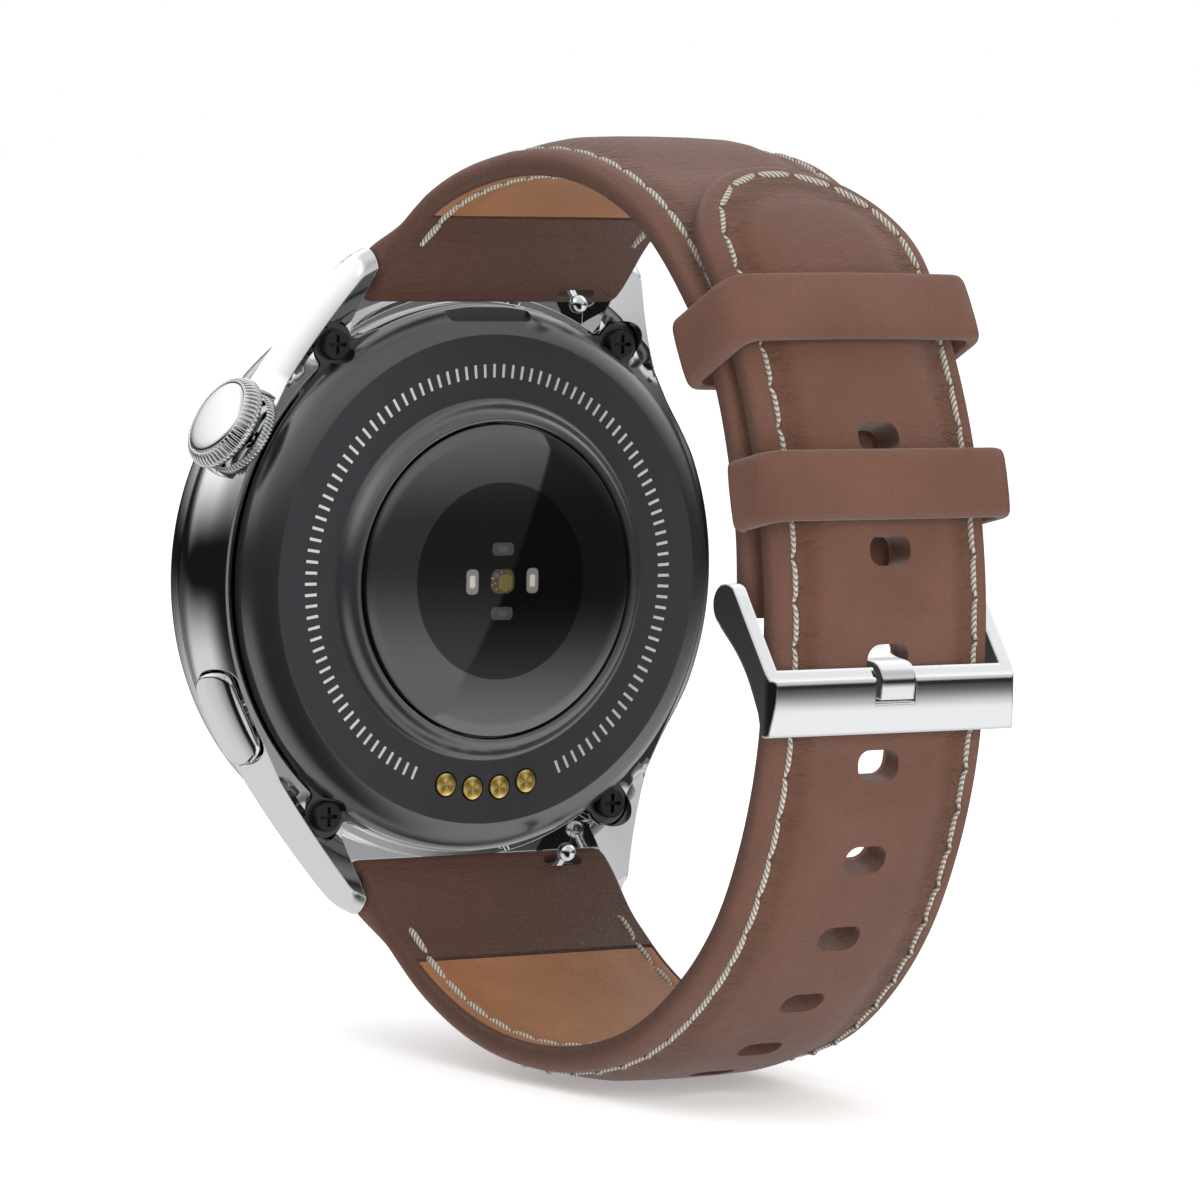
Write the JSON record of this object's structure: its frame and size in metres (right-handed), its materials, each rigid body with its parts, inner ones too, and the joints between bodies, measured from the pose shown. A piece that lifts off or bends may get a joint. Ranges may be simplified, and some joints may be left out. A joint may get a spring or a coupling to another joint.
{
  "type": "smartwatch",
  "caption": "Round steel smartwatch with crown, side button and black sensor back, on a stitched brown leather strap closed in its pin buckle.",
  "frame": {"origin": "centre of the flat display glass", "axes": "+Y from the display through the case to the buckle, +Z to 12 o'clock, +X to 3 o'clock, where the crown is"},
  "size_m": [0.046, 0.0632, 0.0673],
  "materials": {
    "polished_steel": "mirror-polished stainless steel",
    "black_metal": "black coated screws",
    "black_polymer": "black fibre-filled polymer, flat back matte, sloped rim glossy",
    "black_glass": "black-backed polished glass",
    "brown_leather": "brown calf leather with painted edges and beige thread",
    "tan_lining": "tan lining leather",
    "rubber_seal": "black silicone rubber",
    "circuit_board": "green solder mask",
    "gold_plate": "gold plate, turned",
    "foil": "pressed metal foil and cans",
    "chip": "sensor packages",
    "spring_steel": "spring wire"
  },
  "bodies": {
    "watch": {"case_body": "polished_steel", "bezel_ring": "polished_steel", "front_glass": "black_glass", "display_panel": "black_glass", "display_flex": "gold_plate", "mid_frame": "black_polymer", "main_board": "circuit_board", "battery": "foil", "vibration_motor": "foil", "speaker": "black_polymer", "microphone": "foil", "rear_cover": "black_polymer", "rear_gasket": "rubber_seal", "sensor_window": "black_glass", "window_seal": "rubber_seal", "sensor_board": "circuit_board", "sensor_chip": "chip", "led_left": "foil", "led_right": "foil", "photodiode_top": "foil", "photodiode_bottom": "foil", "charge_contact_1": "gold_plate", "charge_contact_2": "gold_plate", "charge_contact_3": "gold_plate", "charge_contact_4": "gold_plate", "case_screw_1": "black_metal", "case_screw_2": "black_metal", "case_screw_3": "black_metal", "case_screw_4": "black_metal", "crown_tube": "polished_steel", "crown_encoder": "black_polymer", "side_button_gasket": "rubber_seal", "side_button_switch": "black_polymer", "strap_short_outer": "brown_leather", "strap_short_lining": "tan_lining", "strap_long_outer": "brown_leather", "strap_long_lining": "tan_lining", "spring_bar_tube_top": "polished_steel", "spring_bar_tube_bottom": "polished_steel", "pin_spring_top": "spring_steel", "pin_spring_bottom": "spring_steel", "keeper_fixed": "brown_leather"},
    "crown_plunger": {"crown_thrust_cap": "black_polymer"},
    "crown_wheel": {"crown_knob": "polished_steel", "crown_cap": "polished_steel", "crown_stem": "polished_steel", "crown_o_ring": "rubber_seal"},
    "button": {"side_button": "polished_steel"},
    "release_top": {"quick_release_pin_top": "polished_steel"},
    "release_bottom": {"quick_release_pin_bottom": "polished_steel"},
    "buckle": {"buckle_frame": "polished_steel", "buckle_bar": "polished_steel"},
    "tongue": {"buckle_tongue": "polished_steel"},
    "loose_keeper": {"keeper_free": "brown_leather"}
  },
  "joints": [
    {"name": "crown_push", "type": "slide", "parent": "watch", "child": "crown_plunger", "axis": [-0.8712, 0, -0.4909], "range_m": [0, 0.0005], "stiffness_N_per_m": 300, "springref_m": -0.0002},
    {"name": "crown_turn", "type": "hinge", "parent": "crown_plunger", "child": "crown_wheel", "pos_m": [0.02152, 0.0074, 0.01213], "axis": [0.8712, 0, 0.4909], "continuous": true},
    {"name": "side_button_push", "type": "slide", "parent": "watch", "child": "button", "axis": [-0.8926, 0, 0.4509], "range_m": [0, 0.0004], "stiffness_N_per_m": 200, "springref_m": -0.0002},
    {"name": "quick_release_top_slide", "type": "slide", "parent": "watch", "child": "release_top", "axis": [1, 0, 0], "range_m": [0, 0.001], "stiffness_N_per_m": 80, "springref_m": -0.001, "deforming": ["pin_spring_top"]},
    {"name": "quick_release_bottom_slide", "type": "slide", "parent": "watch", "child": "release_bottom", "axis": [1, 0, 0], "range_m": [0, 0.001], "stiffness_N_per_m": 80, "springref_m": -0.001, "deforming": ["pin_spring_bottom"]},
    {"name": "buckle_swing", "type": "hinge", "parent": "watch", "child": "buckle", "pos_m": [0, 0.05735, 0.00175], "axis": [1, 0, 0], "range_deg": [0, 3]},
    {"name": "tongue_swing", "type": "hinge", "parent": "buckle", "child": "tongue", "pos_m": [0, 0.05735, 0.00175], "axis": [1, 0, 0], "range_deg": [0, 2.5]},
    {"name": "keeper_slide_round_strap", "type": "hinge", "parent": "watch", "child": "loose_keeper", "pos_m": [0, 0.03, 0.0056], "axis": [1, 0, 0], "range_deg": [-6, 4]}
  ]
}
